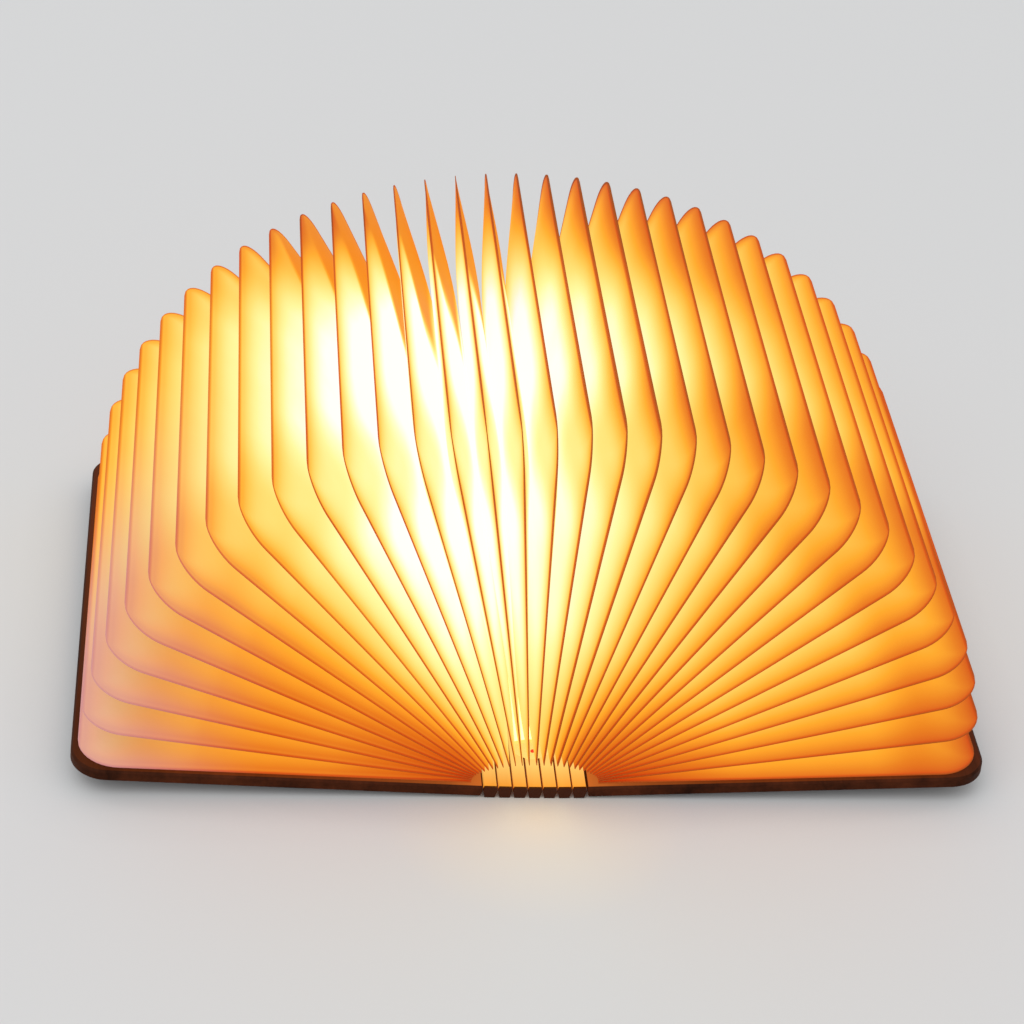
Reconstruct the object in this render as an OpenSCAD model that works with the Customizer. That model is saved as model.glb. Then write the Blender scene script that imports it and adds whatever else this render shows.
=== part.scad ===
// Folding book lamp, standing open on its spine
// X runs across the open covers, Y along the spine, Z up
// The origin is under the middle of the spine, on the surface that the lamp rests on

/* [Covers] */
// Length of the covers, along the spine
cover_len = 215; // [180:1:260]
// Width of one cover, from its hinge line to its outer edge
cover_w = 159; // [120:1:200]
// Thickness of the board that the covers and the spine slats are cut from
board_t = 5; // [4:0.1:7]
// Radius of the outer corners of a cover
cover_corner_r = 14; // [6:0.5:24]
// Chamfer round the free edges of a cover
edge_chamfer = 0.8; // [0.3:0.1:1.4]
// Angle that each cover is raised from flat, at rest
cover_raise = 2.5; // [0:0.1:6]

/* [Spine] */
// Distance from one hinge line of the spine to the next
slat_pitch = 5.83; // [5.2:0.01:7]
// Height of the hinge lines above the outer faces of the slats
hinge_h = 3.3; // [2.5:0.1:3.6]
// Gap between neighbouring slats at their hinge line
kerf_gap = 0.3; // [0.2:0.05:0.5]
// Bevel of the slats' long sides, half of what a hinge line can turn
kerf_bevel = 13; // [12.5:0.5:16]

/* [Pages] */
// Distance from the outer edge of a page to the edge of the covers
page_setback = 2.5; // [2:0.5:8]
// Radius of the outer corners of a page
page_corner_r = 16; // [6:0.5:26]
// Thickness of one sheet of the paper
paper_t = 0.15; // [0.1:0.01:0.2]
// Width of the seam that joins the two sheets of a page
seam_w = 2.5; // [1.5:0.5:5]
// Gap between neighbouring pages where they swell towards each other
page_gap = 0.3; // [0.2:0.05:0.35]
// Distance from the outer edge at which a page is fully swelled
swell_from_edge = 52; // [36:1:70]
// Distance from the front and back edges at which a page is fully swelled
swell_from_ends = 46; // [36:1:60]
// Half the width of the arch on which the pages start
root_half_w = 25; // [23:0.5:27]
// Height at which the lowest free page would start
root_base_z = 6.1; // [6:0.1:7]
// Rise of that arch from its ends to its crown
root_rise = 8.4; // [8.2:0.1:10]
// Ratio by which the pages stand closer in the middle of the fan
fan_crowding_ratio = 0.27; // [0:0.01:0.35]
// Angle that the middle page leans to the left of upright
fan_lean_angle = 1.5; // [0:0.1:2]
// Ratio by which the pages start wider apart at the crown of the arch
root_crowding_ratio = 1.25; // [1.1:0.01:1.3]

/* [Light bar] */
// Distance from each end of the light bar to the end of the spine
bar_setback = 17.5; // [8:0.5:24]
// Width of the light bar
bar_w = 16; // [15:0.1:17]
// Width of the keel that stands on the middle slat
keel_w = 3.4; // [2.6:0.1:3.6]
// Height of the keel's first flare above the slat
flare_low = 2.2; // [2.1:0.1:2.5]
// Height of the keel's second flare above the slat
flare_high = 4.2; // [4.1:0.1:4.5]
// Height of the bar's side walls above the slat
bar_wall_h = 7.2; // [7.2:0.1:7.4]
// Wall thickness of the bar
bar_wall_t = 0.8; // [0.6:0.1:1]
// Height of the diffuser's crown above the side walls
diffuser_rise = 1.3; // [1.2:0.1:1.5]
// Wall thickness of the diffuser
diffuser_t = 0.5; // [0.4:0.05:0.6]
// Thickness of the end caps
end_cap_t = 2; // [1.5:0.1:3]
// Clearance round the pieces inside the bar
fit_gap = 0.1; // [0.05:0.05:0.15]

/* [Electronics] */
// Thickness of the circuit boards
pcb_t = 0.8; // [0.6:0.1:1]
// Depth of the LED board below the top of the side walls
led_board_drop = 1.2; // [1.1:0.1:1.3]
// Distance from one LED to the next
led_pitch = 7.2; // [6:0.1:9]
// Size of an LED across and along the bar
led_size = 2.8; // [2:0.1:3.5]
// Height of an LED
led_h = 0.6; // [0.4:0.1:0.8]
// Room for wiring between the battery cells and the control board
wiring_room = 13; // [6:0.5:24]
// Width of a battery cell
cell_w = 10; // [8:0.1:10.4]
// Height of a battery cell
cell_h = 2.6; // [2:0.1:2.8]
// Length of the control board
control_len = 34; // [30:1:38]
// Width of the control board
control_w = 10; // [9.5:0.1:10.4]
// Size across of the two chips on the control board
chip_size = 5; // [3:0.1:6]
// Distance from one of these chips to the next
chip_pitch = 7; // [6.5:0.1:8]
// Width of the charging port's shell
port_w = 7.5; // [7:0.1:8.4]
// Height of the charging port's shell
port_h = 2.5; // [2.2:0.1:2.6]
// Depth of the charging port
port_len = 6.5; // [6:0.1:9]
// Diameter of the indicator light
indicator_d = 1.8; // [1.4:0.1:2.2]

/* [Magnets] */
// Diameter of the magnets that hold the covers together
magnet_d = 8; // [5:0.5:10]
// Thickness of the magnets
magnet_t = 2; // [1:0.1:2.5]
// Distance from these magnets' centres to the free edges of the cover
magnet_inset = 14; // [10:0.5:24]
// Diameter of the small magnet that switches the lamp
trigger_d = 5; // [3:0.5:8]
// Distance from the switching magnet to the cover's hinge line
trigger_inset = 9; // [6:0.5:20]

/* [Hidden] */
page_count = 35;
mid_page = (page_count + 1) / 2;
slat_count = 7;
hinge_side_count = (slat_count + 1) / 2;
// Height of the inner faces of the boards above the hinge lines
inner_h = board_t - hinge_h;
// Each of the four hinge lines of a side takes a quarter of the cover's angle
hinge_step = cover_raise / hinge_side_count;
bevel_below = hinge_h * tan(kerf_bevel);
bevel_above = inner_h * tan(kerf_bevel);
eps = 0.01;

// Points of the spine's chain on the right, from the middle slat outwards
function chain_x(n) = n == 0 ? slat_pitch / 2 : chain_x(n - 1) + slat_pitch * cos(n * hinge_step);
function chain_z(n) = n == 0 ? hinge_h : chain_z(n - 1) + slat_pitch * sin(n * hinge_step);
cover_hinge_x = chain_x(hinge_side_count - 1);
cover_hinge_z = chain_z(hinge_side_count - 1);

// Place where the end pages start, measured on the cover from its hinge line, and in X and Z
end_page_start = root_half_w - cover_hinge_x;
end_page_x = cover_hinge_x + end_page_start * cos(cover_raise) - (inner_h + paper_t) * sin(cover_raise);
end_page_z = cover_hinge_z + end_page_start * sin(cover_raise) + (inner_h + paper_t) * cos(cover_raise);

// Place of a page in the fan, from 1 at the left cover to -1 at the right cover
function fan_place(k) = (mid_page - k) / (mid_page - 1);
function page_angle(k) =
    let (t = fan_place(k))
    90 + (90 - cover_raise) * (t - fan_crowding_ratio * sin(180 * t) / PI) + fan_lean_angle * (1 - t * t);
function root_turn(k) =
    let (t = fan_place(k)) 90 * t * (root_crowding_ratio - (root_crowding_ratio - 1) * abs(t));
function root_x(k) =
    k == 1 ? -end_page_x : k == page_count ? end_page_x : -root_half_w * sin(root_turn(k));
function root_z(k) =
    k == 1 || k == page_count ? end_page_z : root_base_z + root_rise * cos(root_turn(k));
// Distance from page k, at s from its start, to the plane of page n
function page_step(k, n, s) =
    let (x = root_x(k) + s * cos(page_angle(k)) - root_x(n), z = root_z(k) + s * sin(page_angle(k)) - root_z(n))
    abs(z * cos(page_angle(n)) - x * sin(page_angle(n)));
// Room inside the half of page k that faces page n
function page_room(k, n, s) = max(paper_t / 4, (page_step(k, n, s) - page_gap) / 2 - paper_t);

page_len = cover_len - 2 * page_setback;
page_w = cover_hinge_x + cover_w - page_setback - root_half_w;

bar_len = cover_len - 2 * bar_setback;
bar_base = board_t;
bar_top = bar_base + bar_wall_h;
housing_len = bar_len - 2 * end_cap_t;
cavity_floor = bar_base + flare_low + bar_wall_t;
led_board_z = bar_top - led_board_drop;
ledge_w = bar_wall_t;
diffuser_r = (pow(bar_w / 2, 2) + pow(diffuser_rise, 2)) / (2 * diffuser_rise);
led_count = floor((housing_len - 2 * led_pitch) / led_pitch);
// How far the end caps reach into the housing
plug_len = 2;
cell_gap = 4;
chip_h = 1;
cell_start = -housing_len / 2 + 3;
control_y = housing_len / 2 - plug_len - control_len / 2 - fit_gap;
// Two cells fill what the control board and its wiring leave of the housing
cell_len = (control_y - control_len / 2 - wiring_room - cell_start - cell_gap) / 2;
// The port is let into a notch of the control board, between the floor and the LED board
port_z = (cavity_floor + led_board_z) / 2;
indicator_z = bar_base + flare_high;

walnut = [0.24, 0.10, 0.05];
lit_wood = [0.80, 0.52, 0.26];
paper = [1.0, 0.66, 0.22];

function page_name(k) = str("page_", k < 10 ? "0" : "", k);

// Stands a profile drawn in X and Z upright and draws it out along Y, about the middle
module along_y(length) {
    rotate([90, 0, 0])
        linear_extrude(height = length, center = true)
            children();
}

// Puts its children, drawn beside the right cover's hinge line, on the raised cover
module on_cover(side) {
    mirror([side < 0 ? 1 : 0, 0, 0])
        translate([cover_hinge_x, 0, cover_hinge_z])
            rotate([0, -cover_raise, 0])
                children();
}

// The cover's cross-section along its free edge, from a distance x0 in to the edge at x1
module edge_profile(x0, x1) {
    polygon([
        [x0, -hinge_h], [x1 - edge_chamfer, -hinge_h], [x1, -hinge_h + edge_chamfer],
        [x1, inner_h - edge_chamfer], [x1 - edge_chamfer, inner_h], [x0, inner_h]
    ]);
}

module cover_board() {
    straight = cover_len / 2 - cover_corner_r;
    // The field between the corners, with the outer edge and the bevel at the hinge line
    along_y(2 * straight)
        union() {
            edge_profile(cover_w / 2, cover_w);
            polygon([
                [kerf_gap / 2, 0], [kerf_gap / 2 + bevel_below, -hinge_h], [cover_w / 2, -hinge_h],
                [cover_w / 2, inner_h], [kerf_gap / 2 + bevel_above, inner_h]
            ]);
        }
    for (end = [-1, 1]) {
        // The strip along the front or back edge, with its bevel at the hinge line
        intersection() {
            translate([0, end * straight, 0])
                rotate([90, 0, 90])
                    linear_extrude(height = cover_w - cover_corner_r)
                        mirror([end < 0 ? 1 : 0, 0])
                            edge_profile(0, cover_corner_r);
            along_y(cover_len)
                polygon([
                    [kerf_gap / 2, 0], [kerf_gap / 2 + bevel_below, -hinge_h], [cover_w, -hinge_h],
                    [cover_w, inner_h], [kerf_gap / 2 + bevel_above, inner_h]
                ]);
        }
        // The rounded outer corner
        translate([cover_w - cover_corner_r, end * straight, 0])
            rotate_extrude($fn = 96)
                edge_profile(0, cover_corner_r);
    }
}

module magnet_places() {
    for (end = [-1, 1])
        translate([cover_w - magnet_inset, end * (cover_len / 2 - magnet_inset), inner_h])
            children();
}

module cover(side) {
    color(walnut)
        on_cover(side)
            difference() {
                cover_board();
                magnet_places()
                    translate([0, 0, -magnet_t])
                        cylinder(d = magnet_d + fit_gap, h = magnet_t + eps, $fn = 48);
                if (side < 0)
                    translate([trigger_inset, 0, inner_h - magnet_t])
                        cylinder(d = trigger_d + fit_gap, h = magnet_t + eps, $fn = 48);
            }
}

module closing_magnets(side) {
    color([0.75, 0.76, 0.78])
        on_cover(side)
            magnet_places()
                translate([0, 0, -magnet_t])
                    cylinder(d = magnet_d - fit_gap, h = magnet_t, $fn = 48);
}

module trigger_magnet() {
    color([0.75, 0.76, 0.78])
        on_cover(-1)
            translate([trigger_inset, 0, inner_h - magnet_t])
                cylinder(d = trigger_d - fit_gap, h = magnet_t, $fn = 48);
}

// One slat: n counts from the left, and the middle one lies flat
module spine_slat(n) {
    from_middle = n - hinge_side_count;
    side = from_middle < 0 ? -1 : 1;
    out = abs(from_middle);
    half = slat_pitch / 2 - kerf_gap / 2;
    color(lit_wood)
        mirror([side < 0 ? 1 : 0, 0, 0])
            translate([
                out == 0 ? 0 : (chain_x(out - 1) + chain_x(out)) / 2, 0,
                out == 0 ? hinge_h : (chain_z(out - 1) + chain_z(out)) / 2
            ])
                rotate([0, -out * hinge_step, 0])
                    along_y(cover_len)
                        polygon([
                            [-half, 0], [-half + bevel_below, -hinge_h], [half - bevel_below, -hinge_h],
                            [half, 0], [half - bevel_above, inner_h], [-half + bevel_above, inner_h]
                        ]);
}

// A page is two sheets joined along the outer edge, the front and the back, and open at the spine.
// Stations across and along the page, as shares from the spine out and from front to back
across = [0, 1 - swell_from_edge / page_w, 1 - 0.6 * swell_from_edge / page_w, 1 - page_corner_r / page_w,
          1 - 0.5 * page_corner_r / page_w, 1 - 0.134 * page_corner_r / page_w, 1];
full_share = 1 - 2 * swell_from_ends / page_len;
along = [-1, -(2 + full_share) / 3, -full_share, full_share, (2 + full_share) / 3, 1];
function page_half_len(s, w, len, r) = s < w - r ? len / 2 : len / 2 - r + sqrt(max(0, r * r - pow(s - w + r, 2)));
function swell(d, reach) = pow(sin(90 * max(0, min(1, d / reach))), 0.85);
function page_swell(u, v) = swell((1 - u) * page_w, swell_from_edge) * swell((1 - abs(v)) * page_len / 2, swell_from_ends);
// The points of one skin: a half thickness of flat, and the room that is left for the swelling, inset by a seam
function page_skin(sign, flat, room, inset) =
    let (w = page_w - inset, len = page_len - 2 * inset, r = page_corner_r - inset)
    [for (u = across) for (v = along)
        [u * w, v * page_half_len(u * w, w, len, r), sign * (flat + room(u * w) * page_swell(u, v))]];

module pocket(room_up, room_down) {
    nu = len(across);
    nv = len(along);
    skin = nu * nv;
    sealed = paper_t / 10;
    points = concat(
        page_skin(1, paper_t, room_up, 0), page_skin(-1, paper_t, room_down, 0),
        page_skin(1, sealed, room_up, seam_w), page_skin(-1, sealed, room_down, seam_w)
    );
    at = function (layer, i, j) layer * skin + i * nv + j;
    quad = function (a, b, c, d) [[a, b, c], [a, c, d]];
    // Both windings keep the same diagonal, so that the two skins of a sheet stay parallel
    turned = function (flip, a, b, c, d) flip ? quad(a, b, c, d) : [[c, b, a], [d, c, a]];
    // Upper and lower faces of both skins
    sheets = [for (layer = [0:3]) for (i = [0:nu - 2]) for (j = [0:nv - 2])
        each turned(layer == 0 || layer == 3,
            at(layer, i, j + 1), at(layer, i + 1, j + 1), at(layer, i + 1, j), at(layer, i, j))];
    // The narrow rim that closes each skin along the front, the back and the outer edge
    rims = [for (skin_pair = [0, 2]) each concat(
        [for (i = [0:nu - 2]) each turned(skin_pair == 0,
            at(skin_pair, i, 0), at(skin_pair, i + 1, 0), at(skin_pair + 1, i + 1, 0), at(skin_pair + 1, i, 0))],
        [for (i = [0:nu - 2]) each turned(skin_pair != 0,
            at(skin_pair, i, nv - 1), at(skin_pair, i + 1, nv - 1),
            at(skin_pair + 1, i + 1, nv - 1), at(skin_pair + 1, i, nv - 1))],
        [for (j = [0:nv - 2]) each turned(skin_pair == 0,
            at(skin_pair, nu - 1, j), at(skin_pair, nu - 1, j + 1),
            at(skin_pair + 1, nu - 1, j + 1), at(skin_pair + 1, nu - 1, j))]
    )];
    // The edge of the paper round the open mouth
    mouth = concat(
        [for (j = [0:nv - 2]) each quad(at(0, 0, j + 1), at(0, 0, j), at(2, 0, j), at(2, 0, j + 1))],
        [for (j = [0:nv - 2]) each quad(at(3, 0, j + 1), at(3, 0, j), at(1, 0, j), at(1, 0, j + 1))],
        quad(at(0, 0, 0), at(1, 0, 0), at(3, 0, 0), at(2, 0, 0)),
        quad(at(1, 0, nv - 1), at(0, 0, nv - 1), at(2, 0, nv - 1), at(3, 0, nv - 1))
    );
    polyhedron(points = points, faces = concat(sheets, rims, mouth));
}

// The pages between the end pages, hinged to the spine
module free_page(k) {
    translate([root_x(k), 0, root_z(k)])
        rotate([0, -page_angle(k), 0])
            pocket(function (s) page_room(k, k - 1, s), function (s) page_room(k, k + 1, s));
}

// The first and the last page, glued flat to the covers
module end_page(side) {
    k = side < 0 ? 1 : page_count;
    on_cover(side)
        translate([end_page_start, 0, inner_h + paper_t])
            pocket(function (s) page_room(k, k - side, s), function (s) 0);
}

module page(k) {
    color(paper)
        if (k == 1) end_page(-1);
        else if (k == page_count) end_page(1);
        else free_page(k);
}

// Outline of the light bar, from its keel on the middle slat to the top of its walls
module bar_outline() {
    polygon([
        for (side = [-1, 1]) each [for (p = side < 0 ? bar_corners() : reverse(bar_corners()))
            [side * p[0], bar_base + p[1]]]
    ]);
}
function bar_corners() = [
    [keel_w / 2, 0], [bar_w / 2 - 2, flare_low], [bar_w / 2, flare_high], [bar_w / 2, bar_wall_h]
];
function reverse(list) = [for (i = [len(list) - 1:-1:0]) list[i]];

module bar_cavity() {
    inner = bar_w / 2 - bar_wall_t;
    narrow = inner - ledge_w;
    // The battery and the control board lie below the ledges
    polygon([
        [-cell_w / 2 - 2 * fit_gap, cavity_floor], [cell_w / 2 + 2 * fit_gap, cavity_floor],
        [narrow, bar_base + flare_high + bar_wall_t], [narrow, led_board_z + eps],
        [-narrow, led_board_z + eps], [-narrow, bar_base + flare_high + bar_wall_t]
    ]);
    // The LED board lies on the ledges
    translate([-inner, led_board_z])
        square([2 * inner, bar_top - led_board_z + eps]);
}

module light_bar_housing() {
    color([0.85, 0.85, 0.83])
        along_y(housing_len)
            difference() {
                bar_outline();
                bar_cavity();
            }
}

module led_board() {
    color([0.93, 0.93, 0.90])
        translate([0, 0, led_board_z + pcb_t / 2])
            cube([bar_w - 2 * bar_wall_t - 2 * fit_gap, housing_len - 2 * fit_gap, pcb_t], center = true);
}

module led_chips() {
    color([1.0, 0.85, 0.35])
        for (i = [0:led_count - 1])
            translate([0, (i - (led_count - 1) / 2) * led_pitch, led_board_z + pcb_t + led_h / 2])
                cube([led_size, led_size, led_h], center = true);
}

module light_diffuser() {
    color([1.0, 0.95, 0.85])
        along_y(housing_len)
            union() {
                difference() {
                    translate([0, bar_top + diffuser_rise - diffuser_r])
                        circle(r = diffuser_r, $fn = 180);
                    translate([0, bar_top + diffuser_rise - diffuser_r])
                        circle(r = diffuser_r - diffuser_t, $fn = 180);
                    translate([-2 * diffuser_r, bar_top - 4 * diffuser_r])
                        square([4 * diffuser_r, 4 * diffuser_r]);
                }
                // Two lips stand on the LED board inside the walls
                for (side = [-1, 1])
                    translate([side * (bar_w / 2 - bar_wall_t - fit_gap - diffuser_t / 2), 0])
                        translate([-diffuser_t / 2, led_board_z + pcb_t])
                            square([diffuser_t, bar_top + diffuser_t / 2 - led_board_z - pcb_t]);
            }
}

module battery_cells() {
    color([0.55, 0.60, 0.66])
        for (i = [0, 1])
            translate([-cell_w / 2, cell_start + i * (cell_len + cell_gap), cavity_floor])
                cube([cell_w, cell_len, cell_h]);
}

module control_board() {
    notch_len = port_len - end_cap_t - plug_len + fit_gap;
    color([0.10, 0.35, 0.20]) {
        difference() {
            translate([0, control_y, cavity_floor + pcb_t / 2])
                cube([control_w, control_len, pcb_t], center = true);
            translate([0, control_y + (control_len - notch_len) / 2 + eps, cavity_floor + pcb_t / 2])
                cube([port_w + 2 * fit_gap, notch_len + 2 * eps, 2 * pcb_t], center = true);
        }
        // The charge controller and the LED driver
        for (i = [0, 1])
            translate([0, control_y - control_len / 2 + 4 + i * chip_pitch, cavity_floor + pcb_t + chip_h / 2])
                cube([chip_size, chip_size, chip_h], center = true);
    }
}

module hall_sensor() {
    color([0.08, 0.08, 0.08])
        translate([-2, control_y, cavity_floor + pcb_t + 0.55])
            cube([3, 1.6, 1.1], center = true);
}

module port_outline(grow) {
    r = port_h / 2 + grow;
    for (side = [-1, 1])
        translate([side * (port_w - port_h) / 2, port_z])
            circle(r = r, $fn = 48);
    translate([-(port_w - port_h) / 2, port_z - r])
        square([port_w - port_h, 2 * r]);
}

module charging_port() {
    shell_t = 0.3;
    back = bar_len / 2;
    color([0.72, 0.73, 0.75]) {
        translate([0, back - port_len / 2, 0])
            along_y(port_len)
                difference() {
                    port_outline(0);
                    port_outline(-shell_t);
                }
        // The closed back wall and the tongue that carries the contacts
        translate([0, back - port_len + shell_t / 2, 0])
            along_y(shell_t)
                port_outline(-shell_t / 2);
        translate([-port_w / 4, back - port_len + shell_t / 2, port_z - 0.35])
            cube([port_w / 2, port_len - 1.5, 0.7]);
    }
}

module indicator_light() {
    color([0.85, 0.08, 0.03])
        translate([0, -bar_len / 2, indicator_z])
            rotate([-90, 0, 0])
                cylinder(d = indicator_d, h = end_cap_t, $fn = 48);
}

module cap_outline() {
    bar_outline();
    intersection() {
        translate([0, bar_top + diffuser_rise - diffuser_r])
            circle(r = diffuser_r, $fn = 180);
        translate([-bar_w / 2, bar_top - 1])
            square([bar_w, 2 + diffuser_rise]);
    }
}

// A cap closes each end of the bar, with a plug that fits into the housing below the LED board
module end_cap(end) {
    plug_w = cell_w;
    plug_h = led_board_z - cavity_floor - 2 * fit_gap;
    color([0.90, 0.89, 0.86])
        difference() {
            union() {
                translate([0, end * (bar_len - end_cap_t) / 2, 0])
                    along_y(end_cap_t)
                        cap_outline();
                translate([0, end * (bar_len / 2 - end_cap_t - plug_len / 2 + 0.25), led_board_z - fit_gap - plug_h / 2])
                    cube([plug_w, plug_len + 0.5, plug_h], center = true);
            }
            if (end < 0)
                translate([0, -bar_len / 2 - eps, indicator_z])
                    rotate([-90, 0, 0])
                        cylinder(d = indicator_d, h = end_cap_t + plug_len + 1, $fn = 48);
            else
                translate([0, bar_len / 2 - port_len / 2, 0])
                    along_y(port_len + 2 * eps)
                        port_outline(0);
        }
}

cover(-1);  // cover_left
cover(1);  // cover_right
for (n = [1:slat_count])
    spine_slat(n);
for (k = [1:page_count])
    page(k);
light_bar_housing();
led_board();
led_chips();
light_diffuser();
battery_cells();
control_board();
hall_sensor();
charging_port();
indicator_light();
end_cap(-1);  // end_cap_front
end_cap(1);  // end_cap_rear
closing_magnets(-1);  // closing_magnets_left
closing_magnets(1);  // closing_magnets_right
trigger_magnet();
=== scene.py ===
import math

import bpy
import numpy as np
from mathutils import Matrix, Vector


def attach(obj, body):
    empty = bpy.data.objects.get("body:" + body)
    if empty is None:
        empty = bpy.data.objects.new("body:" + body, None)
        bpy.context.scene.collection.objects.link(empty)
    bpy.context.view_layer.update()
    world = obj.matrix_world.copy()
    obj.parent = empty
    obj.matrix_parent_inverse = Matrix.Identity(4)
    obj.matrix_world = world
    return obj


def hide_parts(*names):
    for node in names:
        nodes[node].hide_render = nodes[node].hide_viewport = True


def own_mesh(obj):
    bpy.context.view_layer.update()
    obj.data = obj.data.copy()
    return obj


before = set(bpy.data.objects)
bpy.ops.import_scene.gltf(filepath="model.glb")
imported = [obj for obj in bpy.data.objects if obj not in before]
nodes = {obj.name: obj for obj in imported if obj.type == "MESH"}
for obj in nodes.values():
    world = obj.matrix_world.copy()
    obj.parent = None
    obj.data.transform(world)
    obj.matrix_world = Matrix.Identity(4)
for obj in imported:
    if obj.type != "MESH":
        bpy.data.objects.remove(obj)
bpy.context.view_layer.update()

# Values of the CAD source, in millimetres and degrees
HINGE_Z = 3.3
BOARD_T = 5.0
SLAT_PITCH = 5.83
COVER_W = 159.0
COVER_LEN = 215.0
COVER_RAISE = 2.5
PAGE_SETBACK = 2.5
PAGE_CORNER = 16.0
PAPER_T = 0.15
PAGE_GAP = 0.3
ROOT_HALF_W = 25.0
ROOT_BASE_Z = 6.1
ROOT_RISE = 8.4
FAN_CROWDING = 0.27
FAN_LEAN = 1.5
ROOT_CROWDING = 1.25
PAGES = 35
MIDDLE_PAGE = 18
SLATS = 7

# The hinge of the right cover. Each hinge of a side raises what follows it by the same step.
RAISE_STEP = COVER_RAISE / 4
RAISES = [math.radians(n * RAISE_STEP) for n in (1, 2, 3)]
HINGE_X = SLAT_PITCH / 2 + sum(SLAT_PITCH * math.cos(a) for a in RAISES)
HINGE_H = HINGE_Z + sum(SLAT_PITCH * math.sin(a) for a in RAISES)
PAGE_LEN = COVER_LEN - 2 * PAGE_SETBACK
PAGE_W = HINGE_X + COVER_W - PAGE_SETBACK - ROOT_HALF_W

# How a pocket of paper swells from its seams
SEAM_W = 1.0
SWELL_FROM_EDGE = 52
SWELL_FROM_ENDS = 46
SWELL_ROUNDNESS = 0.85
LEAST_HALF_SPACE = 0.03

# Faces of one sheet across the page and along it, and how closely they crowd towards its outer edge
CELLS_ACROSS, CELLS_ALONG = 44, 56
EDGE_CROWDING = 1.5


def place(k):
    """Place of page k in the fan, from 1 for the first page, on the left, to -1 for the last."""
    return (MIDDLE_PAGE - k) / (MIDDLE_PAGE - 1)


def page_angle(k):
    t = place(k)
    spread = t - FAN_CROWDING * math.sin(math.pi * t) / math.pi
    return 90 + (90 - COVER_RAISE) * spread + FAN_LEAN * (1 - t * t)


def page_root(k):
    t = place(k)
    a = math.radians(90 * t * (ROOT_CROWDING - (ROOT_CROWDING - 1) * abs(t)))
    return np.array([-ROOT_HALF_W * math.sin(a), ROOT_BASE_Z + ROOT_RISE * math.cos(a)])


def end_page_frame(side):
    """Frame of the first page (side -1) or the last one (side 1), which lie on the covers."""
    a = math.radians(COVER_RAISE)
    out, up = np.array([math.cos(a), math.sin(a)]), np.array([-math.sin(a), math.cos(a)])
    above_hinge = BOARD_T - HINGE_Z + PAPER_T
    root = np.array([HINGE_X, HINGE_H]) + (ROOT_HALF_W - HINGE_X) * out + above_hinge * up
    along = np.array([side * out[0], out[1]])
    return np.array([side * root[0], root[1]]), along, np.array([-along[1], along[0]])


def page_frame(k):
    """Start of page k in the XZ plane, direction along it and normal towards the left neighbour."""
    if k == 1 or k == PAGES:
        return end_page_frame(-1 if k == 1 else 1)
    a = math.radians(page_angle(k))
    return page_root(k), np.array([math.cos(a), math.sin(a)]), np.array([-math.sin(a), math.cos(a)])


def half_space(k, n, s):
    """Half of the free distance from page k, at s from its start, to page n."""
    root, along, _ = page_frame(k)
    other, _, normal = page_frame(n)
    x = root[0] + s * along[0] - other[0]
    z = root[1] + s * along[1] - other[1]
    distance = np.abs(x * normal[0] + z * normal[1])
    return np.maximum(LEAST_HALF_SPACE, distance / 2 - PAGE_GAP / 2 - PAPER_T)


def page_grid():
    """Stations across the page, 0 at the spine to 1, and along it, -1 at the front end to 1."""
    across = 1 - (1 - np.linspace(0, 1, CELLS_ACROSS + 1)) ** EDGE_CROWDING
    lengthwise = np.sin(np.linspace(-1, 1, CELLS_ALONG + 1) * math.pi / 2)
    return np.meshgrid(across, lengthwise, indexing="ij")


# The same for every page, at each station: its distance from the spine, its Y, and its distances
# from the page's edges
U, V = page_grid()
S = U * PAGE_W
IN_CORNER = np.maximum(0, S - PAGE_W + PAGE_CORNER)
HALF_LEN = PAGE_LEN / 2 - PAGE_CORNER + np.sqrt(np.maximum(0, PAGE_CORNER ** 2 - IN_CORNER ** 2))
Y = V * HALF_LEN
TO_OUTER = PAGE_W - S
TO_END = np.minimum(HALF_LEN + Y, HALF_LEN - Y)
TO_SEAM = np.minimum(TO_END, TO_OUTER)


def swell(distance, reach):
    """How far a pocket has opened at a distance from its seam, from 0 to 1."""
    x = np.clip((distance - SEAM_W) / reach, 0, 1)
    return np.sin(x * math.pi / 2) ** SWELL_ROUNDNESS


OPENED = swell(TO_OUTER, SWELL_FROM_EDGE) * swell(TO_END, SWELL_FROM_ENDS)


def sheet_lift(k, up):
    """Height of a sheet over the middle of page k: up is 1 for the left sheet, -1 for the right."""
    neighbour = k - up
    if neighbour < 1 or neighbour > PAGES:
        return np.full_like(S, PAPER_T)
    return PAPER_T + half_space(k, neighbour, S) * OPENED


# Glow of the paper, from 0 to 1. A range says where a look begins and where it is complete, as a
# place in the fan or in millimetres on the page. Three values side by side are for the right side
# of the fan, its middle and its left side.
RIGHT_SIDE = (0.185, -0.485)
LEFT_SIDE = (0.30, 0.75)
GLOW_AT = (10, 55, 105, 142)
GLOW_LEVELS = ((0.54, 0.70, 0.39), (0.79, 0.94, 0.50), (0.72, 1.02, 0.49), (0.88, 1.04, 0.82))
LAST_PAGES, LAST_PAGES_DARK = (-0.7, -1.0), 0.23
SEAM_DARK = (0.58, 0.55, 0.54)
SEAM_REACH = (9.0, 4.5, 7.5)
FRONT_DARK = (0.32, 0.20, 0.26)
FRONT_START = (-15.0, -35.0, -35.0)
FRONT_REACH = 45
FRONT_OUTER_PART = (105, 130)
UPRIGHT_PAGES, UPRIGHT_DARK = (0.60, 0.35), 0.22
UPRIGHT_OUTER_PART, UPRIGHT_REAR_PART = (122, 144), (5, 55)
EDGE_PART = (18, 0)
RIGHT_PAGES, RIGHT_EDGE_DARK = (0.15, -0.15), 0.24
FAR_RIGHT_PAGES, FAR_RIGHT_EDGE_LIGHT = (-0.25, -0.55), 0.14
REAR_DARK = (0.08, 0.55, 0.06)
REAR_START = (-20.0, 33.0, 50.0)
REAR_END = 85

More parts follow.
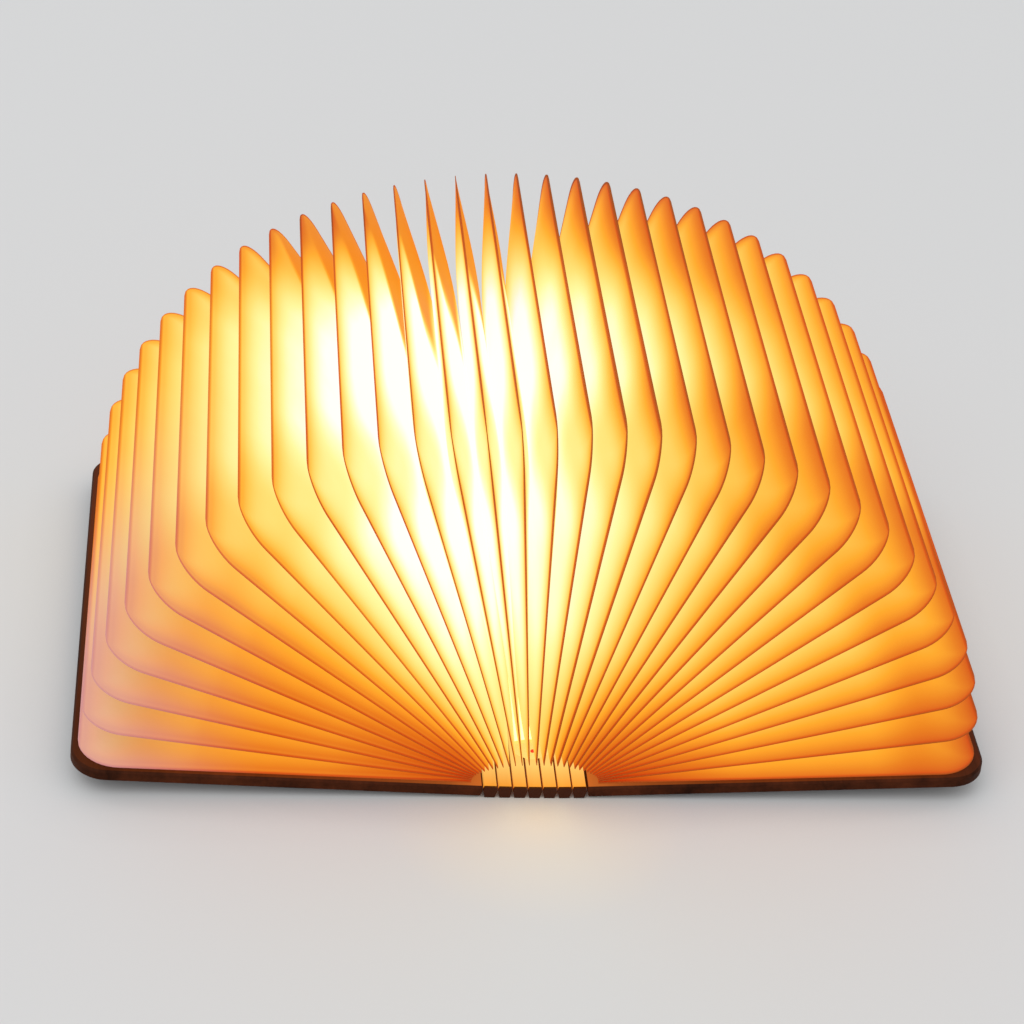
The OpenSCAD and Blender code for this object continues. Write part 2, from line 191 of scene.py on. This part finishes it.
# Shade on the rear of the right sheets of the pages just left of the middle. It leaves free a strip
# along the outer edge, which is SHADE_W wide at SHADE_PLACE and SHADE_Y and changes from there with
# the page's place, more quickly before SHADE_PLACE than after it, and with Y.
SHADED_PAGES = (0, 0.5)
SHADE_LEVEL = 0.36
SHADE_PLACE, SHADE_Y = 0.294, 40
SHADE_W, SHADE_W_BEFORE, SHADE_W_AFTER, SHADE_W_PER_Y = 19, 190, 80, 0.5
SHADE_SOFTNESS = 5
SHADE_OUTER_PART, SHADE_REAR_PART = (104, 120), (6, 28)

# The joined edges of the two sheets: painted shade as a dark ridge, wider and darker near the
# middle of the fan, and a painted highlight as a light line beside it on the left side
RIDGE_W, RIDGE_W_MIDDLE, RIDGE_W_FALLOFF, RIDGE_SOFTNESS = 0.9, 1.3, 0.3, 0.5
RIDGE_DARK, RIDGE_DARK_LEFT, RIDGE_LEFT_FROM = 0.42, 0.28, 0.45
RIDGE_DARK_MIDDLE, RIDGE_DARK_FALLOFF = 0.22, 0.4
LINE_LIGHT, LINE_AT, LINE_W, LINE_PAGES = 0.05, 1.4, 0.3, (0.3, 0.6)

# Painted light: the lowest left pages are paler at their outer front corner, where light from
# outside falls and little glow reaches
PAINTED_LIGHT_OUTER_PART, PAINTED_LIGHT_FRONT_PART, PAINTED_LIGHT_PAGES = (78, 154), (60, -70), (0.50, 0.90)


def smooth(x):
    x = np.clip(x, 0, 1)
    return x * x * (3 - 2 * x)


def ease(x, begin, end):
    """0 where x hasn't reached begin, 1 where it is past end, and a smooth course between them."""
    return smooth((x - begin) / (end - begin))


def bell(x, width):
    return np.exp(-(x / width) ** 2)


def side_shares(t):
    """Shares of the right side, the middle and the left side of the fan in the look of a page."""
    on_right, on_left = ease(t, *RIGHT_SIDE), ease(t, *LEFT_SIDE)
    return on_right, 1 - on_right - on_left, on_left


def shaded(level, t):
    """A neighbour shades the rear of a right sheet, up to a line along its outer edge."""
    slope = SHADE_W_BEFORE if t < SHADE_PLACE else SHADE_W_AFTER
    line = SHADE_W + (t - SHADE_PLACE) * slope - (Y - SHADE_Y) * SHADE_W_PER_Y
    shade = ease(TO_OUTER, line, line + SHADE_SOFTNESS)
    shade = shade * ease(S, *SHADE_OUTER_PART) * ease(Y, *SHADE_REAR_PART)
    return level * (1 - shade) + SHADE_LEVEL * shade


def page_glow(k, up):
    """Brightness of one sheet of page k: up is 1 for its left sheet and -1 for its right one."""
    t = place(k)
    shares = side_shares(t)

    def of(values):
        return sum(share * value for share, value in zip(shares, values))

    level = np.interp(S, GLOW_AT, [of(row) for row in GLOW_LEVELS])
    level = level * (1 - LAST_PAGES_DARK * ease(t, *LAST_PAGES))
    # The paper is darker towards its seams, where no lit space is left inside
    level = level * (1 - of(SEAM_DARK) * np.exp(-np.maximum(0, TO_SEAM) / of(SEAM_REACH)))
    # at its outer front corner, and at the outer rear corner of the upright pages
    start = of(FRONT_START)
    corner = ease(S, *FRONT_OUTER_PART) * ease(Y, start, start - FRONT_REACH)
    level = level * (1 - of(FRONT_DARK) * corner)
    corner = ease(S, *UPRIGHT_OUTER_PART) * ease(Y, *UPRIGHT_REAR_PART)
    level = level * (1 - UPRIGHT_DARK * ease(abs(t), *UPRIGHT_PAGES) * corner)
    # along the outer edge of the right pages
    edge_dark = RIGHT_EDGE_DARK * ease(t, *RIGHT_PAGES)
    edge_dark -= FAR_RIGHT_EDGE_LIGHT * ease(t, *FAR_RIGHT_PAGES)
    level = level * (1 - edge_dark * ease(TO_OUTER, *EDGE_PART))
    # and beyond the rear end of the light bar
    level = level * (1 - of(REAR_DARK) * ease(Y, of(REAR_START), REAR_END))
    if up < 0 and SHADED_PAGES[0] < t < SHADED_PAGES[1]:
        level = shaded(level, t)
    ridge_w = RIDGE_W + RIDGE_W_MIDDLE * bell(t, RIDGE_W_FALLOFF)
    ridge = ease(TO_SEAM, ridge_w, ridge_w - RIDGE_SOFTNESS)
    dark = RIDGE_DARK if t < RIDGE_LEFT_FROM else RIDGE_DARK_LEFT
    dark += RIDGE_DARK_MIDDLE * bell(t, RIDGE_DARK_FALLOFF)
    light_line = bell(TO_SEAM - LINE_AT, LINE_W) * ease(t, *LINE_PAGES)
    return level * (1 - dark * ridge) + LINE_LIGHT * light_line


def page_painted_light(k):
    """Painted light, from 0 to 1, at the outer front corner of the lowest left pages, where hardly
    any glow reaches the paper.
    """
    corner = ease(S, *PAINTED_LIGHT_OUTER_PART) * ease(Y, *PAINTED_LIGHT_FRONT_PART)
    return corner * ease(place(k), *PAINTED_LIGHT_PAGES)


def page_mesh(k):
    """Pocket of page k: two sheets joined along three edges, with the values of its look."""
    root, along, normal = page_frame(k)
    points, glow, painted_light = [], [], []
    for up in (1, -1):
        lift = sheet_lift(k, up) * up
        x = root[0] + S * along[0] + lift * normal[0]
        z = root[1] + S * along[1] + lift * normal[1]
        points.append(np.stack([x, Y, z], axis=-1).reshape(-1, 3))
        glow.append(page_glow(k, up).ravel())
        painted_light.append(page_painted_light(k).ravel())
    points = np.concatenate(points) / 1000
    last_i, last_j = CELLS_ACROSS, CELLS_ALONG
    left, right = 0, 1
    count = (last_i + 1) * (last_j + 1)

    def at(sheet, i, j):
        return sheet * count + i * (last_j + 1) + j

    faces = []
    for i in range(last_i):
        for j in range(last_j):
            a, b = at(left, i, j), at(left, i + 1, j)
            c, d = at(left, i + 1, j + 1), at(left, i, j + 1)
            faces.append((d, c, b, a))
            faces.append((a + count, b + count, c + count, d + count))
    for i in range(last_i):
        for j, lower, upper in ((0, left, right), (last_j, right, left)):
            a, b = at(lower, i, j), at(lower, i + 1, j)
            c, d = at(upper, i + 1, j), at(upper, i, j)
            faces.append((a, b, c, d))
    for j in range(last_j):
        a, b = at(left, last_i, j), at(left, last_i, j + 1)
        faces.append((a, b, b + count, a + count))
    mesh = bpy.data.meshes.new("paper_page_%02d" % k)
    mesh.from_pydata(points.tolist(), [], faces)
    for name, values in (("glow", glow), ("painted_light", painted_light)):
        layer = mesh.attributes.new(name, "FLOAT", "POINT")
        layer.data.foreach_set("value", np.concatenate(values).astype(np.float32))
    mesh.shade_smooth()
    mesh.update()
    return mesh


# Materials. Colours are linear unless a comment says sRGB, and places in them are in metres.


def material(name):
    mat = bpy.data.materials.new(name)
    mat.use_nodes = True
    tree = mat.node_tree
    return mat, tree, tree.nodes["Principled BSDF"]


def link(tree, source, socket):
    tree.links.new(source, socket)


def ramp(tree, stops, source):
    """Colour ramp over a value. Each stop is a place and a colour."""
    node = tree.nodes.new("ShaderNodeValToRGB")
    elements = node.color_ramp.elements
    while len(elements) > 1:
        elements.remove(elements[-1])
    for i, (position, colour) in enumerate(stops):
        element = elements[0] if i == 0 else elements.new(position)
        element.position = position
        element.color = (*colour, 1)
    link(tree, source, node.inputs["Fac"])
    return node.outputs["Color"]


def maths(tree, operation, *values):
    """Result of a math node. Each value is a number or another node's output."""
    node = tree.nodes.new("ShaderNodeMath")
    node.operation = operation
    for socket, value in zip(node.inputs, values):
        if isinstance(value, (int, float)):
            socket.default_value = value
        else:
            link(tree, value, socket)
    return node.outputs[0]


def mix(tree, factor, a, b):
    """Colour a where factor is 0 and b where it is 1. Each is a colour or an output."""
    node = tree.nodes.new("ShaderNodeMix")
    node.data_type = "RGBA"
    link(tree, factor, node.inputs["Factor"])
    for side, value in (("A", a), ("B", b)):
        socket = next(i for i in node.inputs if i.name == side and i.type == "RGBA")
        if isinstance(value, tuple):
            socket.default_value = (*value, 1)
        else:
            link(tree, value, socket)
    return next(o for o in node.outputs if o.type == "RGBA")


def coordinates(tree, kind):
    coords = tree.nodes.new("ShaderNodeTexCoord")
    split = tree.nodes.new("ShaderNodeSeparateXYZ")
    link(tree, coords.outputs[kind], split.inputs["Vector"])
    return split.outputs


def noise(tree, scale, detail, stretch=(1, 1, 1)):
    coords = tree.nodes.new("ShaderNodeTexCoord")
    mapping = tree.nodes.new("ShaderNodeMapping")
    mapping.inputs["Scale"].default_value = stretch
    node = tree.nodes.new("ShaderNodeTexNoise")
    node.inputs["Scale"].default_value = scale
    node.inputs["Detail"].default_value = detail
    link(tree, coords.outputs["Object"], mapping.inputs["Vector"])
    link(tree, mapping.outputs["Vector"], node.inputs["Vector"])
    return node.outputs["Fac"]


def attribute(tree, name):
    node = tree.nodes.new("ShaderNodeAttribute")
    node.attribute_name = name
    return node.outputs["Fac"]


def linear(colour):
    """Linear values of an sRGB colour from 0 to 255."""
    return [((c / 255 + 0.055) / 1.055) ** 2.4 if c > 10 else c / 255 / 12.92 for c in colour]


# Colours of the lit paper from its darkest seams to the white before the light bar, as sRGB
GLOW = [
    (0.08, (150, 48, 6)), (0.20, (208, 87, 13)), (0.33, (231, 134, 36)),
    (0.45, (253, 175, 50)), (0.56, (253, 202, 84)), (0.68, (254, 225, 120)),
    (0.80, (254, 246, 159)), (0.90, (254, 252, 205)), (0.97, (255, 255, 247)),
]
# The glow leaves out what the studio light adds to the paper
PAPER_BASE = (0.30, 0.10, 0.012)
STUDIO = 0.75
# Painted light: the paper's base colour at the lit corner, and how much the glow weakens there
PAINTED_LIGHT_PAPER = (0.56, 0.35, 0.37)
PAINTED_LIGHT_DIMS_BY = 0.62
FIBRE_SCALE, FIBRE_DEPTH = 45, 0.06


def paper_material():
    """Paper lit from inside: the mesh's glow values choose the colour of its glow, and its painted
    light makes the base paler and the glow weaker at one corner.
    """
    mat, tree, shader = material("lit_paper")
    glow, painted_light = attribute(tree, "glow"), attribute(tree, "painted_light")
    fibres = noise(tree, FIBRE_SCALE, 4.0)
    uneven = maths(tree, "MULTIPLY_ADD", fibres, FIBRE_DEPTH, 1 - FIBRE_DEPTH / 2)
    level = maths(tree, "MULTIPLY", glow, uneven)
    stops = [
        (level_at, [max(0.0, c - STUDIO * b) for c, b in zip(linear(colour), PAPER_BASE)])
        for level_at, colour in GLOW
    ]
    # Painted light: a paler base colour and a weaker glow at the corner
    link(tree, ramp(tree, [(0, PAPER_BASE), (1, PAINTED_LIGHT_PAPER)], painted_light), shader.inputs["Base Color"])
    link(tree, ramp(tree, stops, level), shader.inputs["Emission Color"])
    dim = maths(tree, "MULTIPLY", painted_light, -PAINTED_LIGHT_DIMS_BY)
    link(tree, maths(tree, "ADD", dim, 1.0), shader.inputs["Emission Strength"])
    shader.inputs["Roughness"].default_value = 0.85
    shader.inputs["Specular IOR Level"].default_value = 0.2
    return mat


# Wood: coarse grain and fine pores, each with its scale, detail and stretch
GRAIN = (14, 6.0, (6, 0.35, 6))
PORES = (126, 3.0, (5, 0.15, 5))
PORES_SHARE = 0.3
DARKEST_AT, LIGHTEST_AT = 0.40, 0.85


def wood_material(name, dark, light, roughness, coat):
    """Wood with its grain along Y."""
    mat, tree, shader = material(name)
    both = maths(tree, "MULTIPLY_ADD", noise(tree, *PORES), PORES_SHARE, noise(tree, *GRAIN))
    colour = ramp(tree, [(DARKEST_AT, dark), (LIGHTEST_AT, light)], both)
    link(tree, colour, shader.inputs["Base Color"])
    shader.inputs["Roughness"].default_value = roughness
    shader.inputs["Specular IOR Level"].default_value = 0.06
    shader.inputs["Coat Weight"].default_value = coat
    shader.inputs["Coat Roughness"].default_value = 0.12
    return mat, tree, shader, colour


# Where the lit surfaces of a slat end, and where their painted glow turns a deeper orange and how
# quickly it sets in
SLAT_END_Y = 0.1066
SLAT_INNER_Z = 0.0042
SLAT_KERF_Z = 0.0010
SLAT_ORANGE_GLOW_FROM_Y, SLAT_ORANGE_GLOW_REACH = -0.09375, 0.0125


def slat_material():
    """Painted light and shade: the lit inner face gets lighter wood and a painted glow of the bar's
    light, the kerfs a dim painted glow, and the ends and outer face a darker colour.
    """
    dark, light = (0.14, 0.055, 0.010), (0.36, 0.16, 0.030)
    mat, tree, shader, wood = wood_material("slat_walnut", dark, light, roughness=0.35, coat=0.15)
    at = coordinates(tree, "Object")
    middle = maths(tree, "LESS_THAN", maths(tree, "ABSOLUTE", at["Y"]), SLAT_END_Y)
    inner, kerf = [
        maths(tree, "MULTIPLY", maths(tree, "GREATER_THAN", at["Z"], z), middle)
        for z in (SLAT_INNER_Z, SLAT_KERF_Z)
    ]
    # Painted light and shade: lighter wood on the lit inner face, a darker colour on the ends and
    # outer face
    link(tree, mix(tree, inner, (0.055, 0.012, 0.003), wood), shader.inputs["Base Color"])
    # Painted light: towards the front end the painted glow is a deeper orange
    offset = SLAT_ORANGE_GLOW_FROM_Y / SLAT_ORANGE_GLOW_REACH
    near_end = maths(tree, "MULTIPLY_ADD", at["Y"], -1 / SLAT_ORANGE_GLOW_REACH, offset)
    near_end.node.use_clamp = True
    lit = mix(tree, near_end, (1.0, 0.68, 0.18), (0.92, 0.34, 0.03))
    dim = mix(tree, kerf, (0.0, 0.0, 0.0), (0.30, 0.045, 0.002))
    link(tree, mix(tree, inner, dim, lit), shader.inputs["Emission Color"])
    shader.inputs["Emission Strength"].default_value = 0.80
    return mat


# The least upward part of the normal on the inner face, and the painted light on it by the distance
# from the spine
COVER_FACES_UP = 0.9
COVER_PAINTED_LIGHT = [
    (0.020, (0.55, 0.13, 0.018)), (0.035, (0.28, 0.065, 0.010)),
    (0.075, (0.12, 0.022, 0.003)), (0.170, (0.03, 0.006, 0.001)),
]


def cover_material():
    """Dark walnut. Painted light on its inner face stands in for the pages' light, less with the
    distance from the spine.
    """
    dark, light = (0.016, 0.004, 0.001), (0.085, 0.020, 0.006)
    mat, tree, shader, _ = wood_material("walnut", dark, light, roughness=0.55, coat=0.0)
    facing = maths(tree, "GREATER_THAN", coordinates(tree, "Normal")["Z"], COVER_FACES_UP)
    away = maths(tree, "ABSOLUTE", coordinates(tree, "Object")["X"])
    # Painted light: the glow on the inner face
    glow = mix(tree, facing, (0.0, 0.0, 0.0), ramp(tree, COVER_PAINTED_LIGHT, away))
    link(tree, glow, shader.inputs["Emission Color"])
    shader.inputs["Emission Strength"].default_value = 1.0
    return mat


def plain_material(name, colour, roughness, metallic=0.0, coat=0.0):
    mat, _, shader = material(name)
    shader.inputs["Base Color"].default_value = (*colour, 1)
    shader.inputs["Roughness"].default_value = roughness
    shader.inputs["Metallic"].default_value = metallic
    shader.inputs["Coat Weight"].default_value = coat
    return mat


def lamp_material(name, colour, strength, base):
    mat, _, shader = material(name)
    shader.inputs["Base Color"].default_value = (*base, 1)
    shader.inputs["Roughness"].default_value = 0.4
    shader.inputs["Emission Color"].default_value = (*colour, 1)
    shader.inputs["Emission Strength"].default_value = strength
    return mat


PAPER = paper_material()
WALNUT = cover_material()
SLAT = slat_material()
# Painted light: the light bar's housing and end caps glow with the lamp's colour, though they are
# not its light source
CAP_PAINTED_GLOW = lamp_material("cap_painted_glow", (1.0, 0.62, 0.16), 0.75, (0.5, 0.42, 0.2))
BOARD = plain_material("white_board", (0.78, 0.78, 0.74), 0.4)
GREEN = plain_material("green_board", (0.02, 0.11, 0.05), 0.35, coat=0.3)
BLACK = plain_material("sensor_black", (0.02, 0.02, 0.02), 0.4)
FOIL = plain_material("cell_foil", (0.45, 0.47, 0.50), 0.35, metallic=0.9)
STEEL = plain_material("port_steel", (0.62, 0.62, 0.63), 0.25, metallic=1.0)
NICKEL = plain_material("nickel", (0.66, 0.65, 0.62), 0.18, metallic=1.0)
DIFFUSER = lamp_material("lit_diffuser", (1.0, 0.78, 0.36), 1.3, (0.9, 0.9, 0.85))
LED = lamp_material("led", (1.0, 0.75, 0.35), 8.0, (0.9, 0.7, 0.2))
RED = lamp_material("indicator", (1.0, 0.02, 0.01), 1.2, (0.5, 0.02, 0.01))

CAD_FINISH = {
    "cover_left": WALNUT, "cover_right": WALNUT,
    "light_bar_housing": CAP_PAINTED_GLOW, "led_board": BOARD, "led_chips": LED, "light_diffuser": DIFFUSER,
    "battery_cells": FOIL, "control_board": GREEN, "hall_sensor": BLACK, "charging_port": STEEL,
    "indicator_light": RED, "end_cap_front": CAP_PAINTED_GLOW, "end_cap_rear": CAP_PAINTED_GLOW,
    "closing_magnets_left": NICKEL, "closing_magnets_right": NICKEL, "trigger_magnet": NICKEL,
}
for n in range(1, SLATS + 1):
    CAD_FINISH["spine_slat_%d" % n] = SLAT
for name, mat in CAD_FINISH.items():
    data = nodes[name].data
    data.materials.clear()
    data.materials.append(mat)

# Pages. Those in this table turn with a cover or a slat, and the others have joints of their own.
# The third value counts the hinges that turn the page as the book closes: above 0 they turn it to
# the right, and below 0 to the left.
CARRIED = {
    1: ("cover_left", "left_fold_4", 4),
    5: ("slat_1", "left_fold_3", 3),
    9: ("slat_2", "left_fold_2", 2),
    13: ("slat_3", "left_fold", 1),
    18: ("spine_middle", "left_fold", 0),
    24: ("slat_5", "right_fold", -1),
    28: ("slat_6", "right_fold_2", -2),
    31: ("slat_7", "right_fold_3", -3),
    35: ("cover_right", "right_fold_4", -4),
}
# Degrees that one hinge turns as the book closes, and the share of its thickness that a page has
# lost by then
CLOSED_TURN = 21.875
FLATTENED_WHEN_CLOSED = 0.89


def turned(direction, degrees):
    """A direction in the XZ plane, turned from X towards Z."""
    a = math.radians(degrees)
    x, z = direction
    return np.array([x * math.cos(a) - z * math.sin(a), x * math.sin(a) + z * math.cos(a)])


for k in range(1, PAGES + 1):
    node = "page_%02d" % k
    page = bpy.data.objects.new("paper_page_%02d" % k, page_mesh(k))
    bpy.context.scene.collection.objects.link(page)
    page.data.materials.append(PAPER)
    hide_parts(node)
    body, joint, hinges = CARRIED.get(k, (node, node + "_turn", None))
    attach(page, body)
    root, along, normal = page_frame(k)
    if hinges is not None:
        # The paper bends at its foot, so in the closed book it stands upright among its neighbours;
        # this works out only that lean and a normal turned back by it, which nothing below uses
        lean = math.degrees(math.atan2(along[1], along[0])) - hinges * CLOSED_TURN - 90
        normal = turned(normal, -lean / FLATTENED_WHEN_CLOSED)
    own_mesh(page)


# Stage

FLOOR_SIZE = 30
FLOOR_SEEN, FLOOR_UNSEEN = (0.352, 0.358, 0.364), (0.66, 0.66, 0.66)
# Painted light: a warm patch of the lamp's light on the floor before the spine
PAINTED_LAMP_LIGHT_Y = -0.118
PAINTED_LAMP_LIGHT = [(0.0, (0.50, 0.39, 0.27)), (0.022, (0.41, 0.36, 0.30)), (0.06, (0.33, 0.33, 0.33))]
CONTACT_SHADOW_REACH = 0.03


def floor_material():
    """Pale paper, with soft shadows and a painted warm patch of the lamp's light before the spine.
    """
    mat, tree, shader = material("floor_paper")
    camera_ray = tree.nodes.new("ShaderNodeLightPath").outputs["Is Camera Ray"]
    at = coordinates(tree, "Object")
    x, y = at["X"], maths(tree, "ADD", at["Y"], -PAINTED_LAMP_LIGHT_Y)
    squares = maths(tree, "ADD", maths(tree, "MULTIPLY", x, x), maths(tree, "MULTIPLY", y, y))
    away = maths(tree, "SQRT", squares)
    link(tree, mix(tree, camera_ray, FLOOR_UNSEEN, FLOOR_SEEN), shader.inputs["Base Color"])
    # Painted light: the warm patch in the floor's emission
    link(tree, ramp(tree, PAINTED_LAMP_LIGHT, away), shader.inputs["Emission Color"])
    contact = tree.nodes.new("ShaderNodeAmbientOcclusion")
    contact.samples = 8
    contact.inputs["Distance"].default_value = CONTACT_SHADOW_REACH
    strength = maths(tree, "MULTIPLY", camera_ray, contact.outputs["AO"])
    link(tree, strength, shader.inputs["Emission Strength"])
    shader.inputs["Roughness"].default_value = 0.9
    return mat


bpy.ops.mesh.primitive_plane_add(size=FLOOR_SIZE, location=(0, 0, 0))
floor = bpy.context.object
floor.name = "floor"
floor.data.materials.append(floor_material())

WORLD_LIGHT = 0.80
world = bpy.context.scene.world or bpy.data.worlds.new("world")
bpy.context.scene.world = world
world.use_nodes = True
background = world.node_tree.nodes["Background"]
background.inputs["Color"].default_value = (1, 1, 1, 1)
background.inputs["Strength"].default_value = WORLD_LIGHT

SOFTBOX_AT, SOFTBOX_SIZE, SOFTBOX_POWER = Vector((-1.2, -1.0, 2.2)), 1.6, 14
softbox_data = bpy.data.lights.new("softbox", "AREA")
softbox_data.shape = "SQUARE"
softbox_data.size = SOFTBOX_SIZE
softbox_data.energy = SOFTBOX_POWER
softbox = bpy.data.objects.new("softbox", softbox_data)
bpy.context.scene.collection.objects.link(softbox)
softbox.location = SOFTBOX_AT
softbox.rotation_mode = "QUATERNION"
softbox.rotation_quaternion = (-SOFTBOX_AT).to_track_quat("-Z", "Y")

# Camera, from a fit of the page edges and covers to the photo
YAW, PITCH, ROLL = math.radians(7.34), math.radians(34.79), math.radians(5.25)
LOCATION = Vector((-0.1263, -0.9403, 0.7192))
FOCAL_PIXELS, PHOTO_PIXELS, SENSOR_MM = 2830, 1024, 36
forward = Vector((
    math.sin(YAW) * math.cos(PITCH), math.cos(YAW) * math.cos(PITCH), -math.sin(PITCH),
))
level_right = Vector((math.cos(YAW), -math.sin(YAW), 0))
level_up = level_right.cross(forward)
rolled_right = math.cos(ROLL) * level_right + math.sin(ROLL) * level_up
rolled_up = -math.sin(ROLL) * level_right + math.cos(ROLL) * level_up
camera = bpy.data.objects.new("camera", bpy.data.cameras.new("camera"))
bpy.context.scene.collection.objects.link(camera)
camera.data.sensor_width = SENSOR_MM
camera.data.lens = FOCAL_PIXELS / PHOTO_PIXELS * SENSOR_MM
camera.data.clip_start = 0.05
camera.data.clip_end = 50
rotation = Matrix((rolled_right, rolled_up, -forward)).transposed().to_4x4()
camera.matrix_world = Matrix.Translation(LOCATION) @ rotation
bpy.context.scene.camera = camera
bpy.context.scene.view_settings.view_transform = "Standard"
